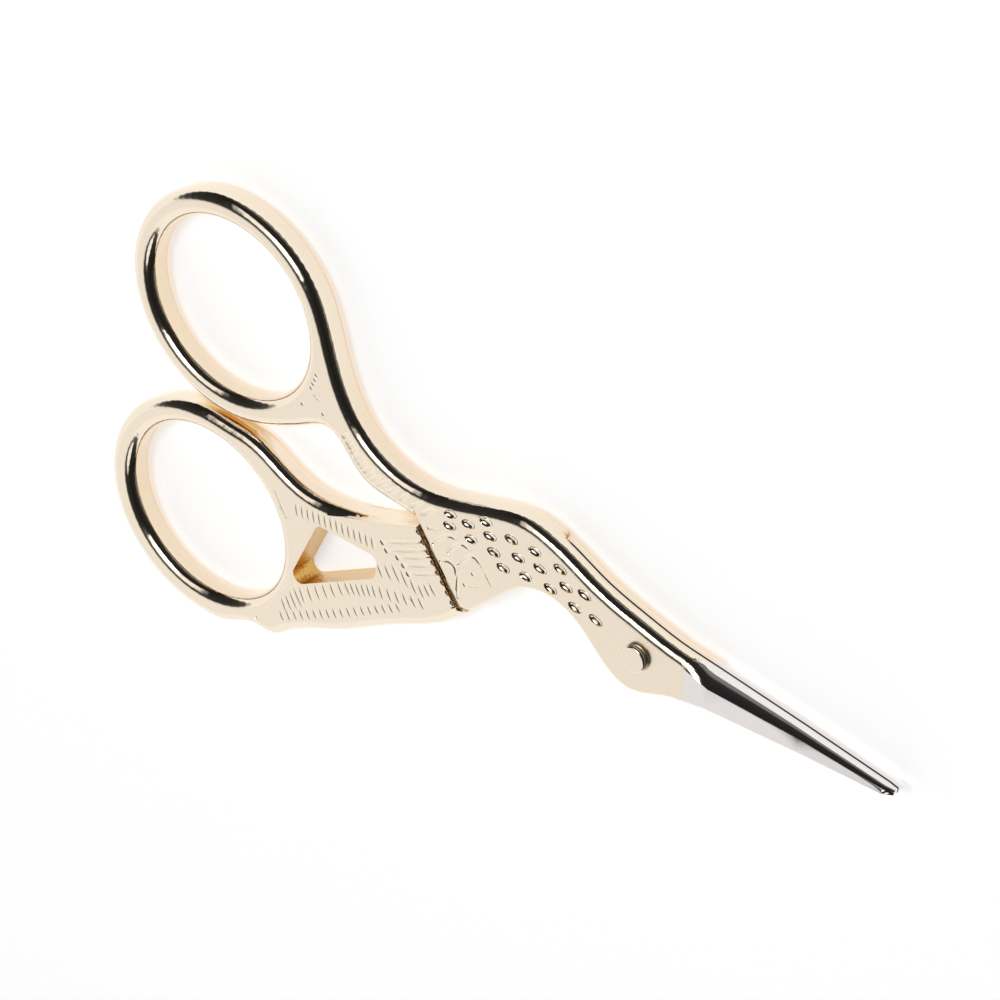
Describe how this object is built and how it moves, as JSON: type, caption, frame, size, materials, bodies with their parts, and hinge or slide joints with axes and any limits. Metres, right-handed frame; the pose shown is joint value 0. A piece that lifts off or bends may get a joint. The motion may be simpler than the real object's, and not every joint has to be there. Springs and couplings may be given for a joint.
{
  "type": "embroidery scissors",
  "caption": "Small embroidery scissors shaped as a stork, with oval finger bows, a wing-shaped handle and slim blades that form the beak, lying closed.",
  "frame": {"origin": "pivot axis at the back face, where the scissors rest on a table", "axes": "+X along the closed beak to its tip, +Y towards the bow of the front half, +Z out of the engraved front face"},
  "size_m": [0.0925, 0.0478, 0.0036],
  "materials": {
    "gold_plate": "polished pale gold plating over steel, with a bright nickel beak"
  },
  "bodies": {
    "rear_lever": {"rear_half": "gold_plate"},
    "front_lever": {"front_half": "gold_plate", "pivot_screw": "gold_plate"}
  },
  "joints": [
    {"name": "pivot", "type": "hinge", "parent": "rear_lever", "child": "front_lever", "pos_m": [0, 0, 0], "axis": [0, 0, -1], "range_deg": [0, 60]}
  ]
}
